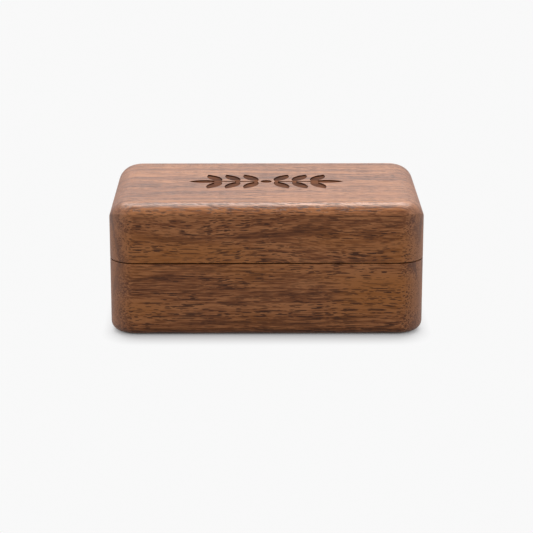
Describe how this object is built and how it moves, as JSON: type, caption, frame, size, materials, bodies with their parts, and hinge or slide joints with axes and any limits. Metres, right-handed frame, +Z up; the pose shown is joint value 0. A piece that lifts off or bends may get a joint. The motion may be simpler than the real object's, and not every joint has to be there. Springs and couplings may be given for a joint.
{
  "type": "cufflink box",
  "caption": "Small walnut box with rounded edges and a hinged lid; a velvet-covered insert with slots holds cufflinks under a padded lid, and magnets keep it shut.",
  "frame": {"origin": "middle of the underside, on the surface that the box stands on", "axes": "+X to the right along the width, +Y to the back, where the hinges are, +Z up"},
  "size_m": [0.07, 0.045, 0.03],
  "materials": {
    "walnut": "oiled satin, open pores",
    "hinge_brass": "satin",
    "screw_brass": "polished",
    "pin_steel": "drawn wire",
    "magnet_nickel": "nickel plated",
    "velvet": "short pile",
    "foam": "open cell",
    "card": "grey board"
  },
  "bodies": {
    "base": {"base_shell": "walnut", "left_hinge_base_leaf": "hinge_brass", "left_hinge_base_screw_left": "screw_brass", "left_hinge_base_screw_right": "screw_brass", "left_hinge_pin": "pin_steel", "right_hinge_base_leaf": "hinge_brass", "right_hinge_base_screw_left": "screw_brass", "right_hinge_base_screw_right": "screw_brass", "right_hinge_pin": "pin_steel", "base_magnet_left": "magnet_nickel", "base_magnet_right": "magnet_nickel", "insert_board": "card", "insert_foam": "foam", "insert_cover": "velvet"},
    "lid": {"lid_shell": "walnut", "left_hinge_lid_leaf": "hinge_brass", "left_hinge_lid_screw_left": "screw_brass", "left_hinge_lid_screw_right": "screw_brass", "right_hinge_lid_leaf": "hinge_brass", "right_hinge_lid_screw_left": "screw_brass", "right_hinge_lid_screw_right": "screw_brass", "lid_magnet_left": "magnet_nickel", "lid_magnet_right": "magnet_nickel", "lid_pad_board": "card", "lid_pad_foam": "foam", "lid_pad_cover": "velvet"}
  },
  "joints": [
    {"name": "lid_hinge", "type": "hinge", "parent": "base", "child": "lid", "pos_m": [0, 0.0205, 0.0166], "axis": [-1, 0, 0], "range_deg": [0, 96]}
  ]
}
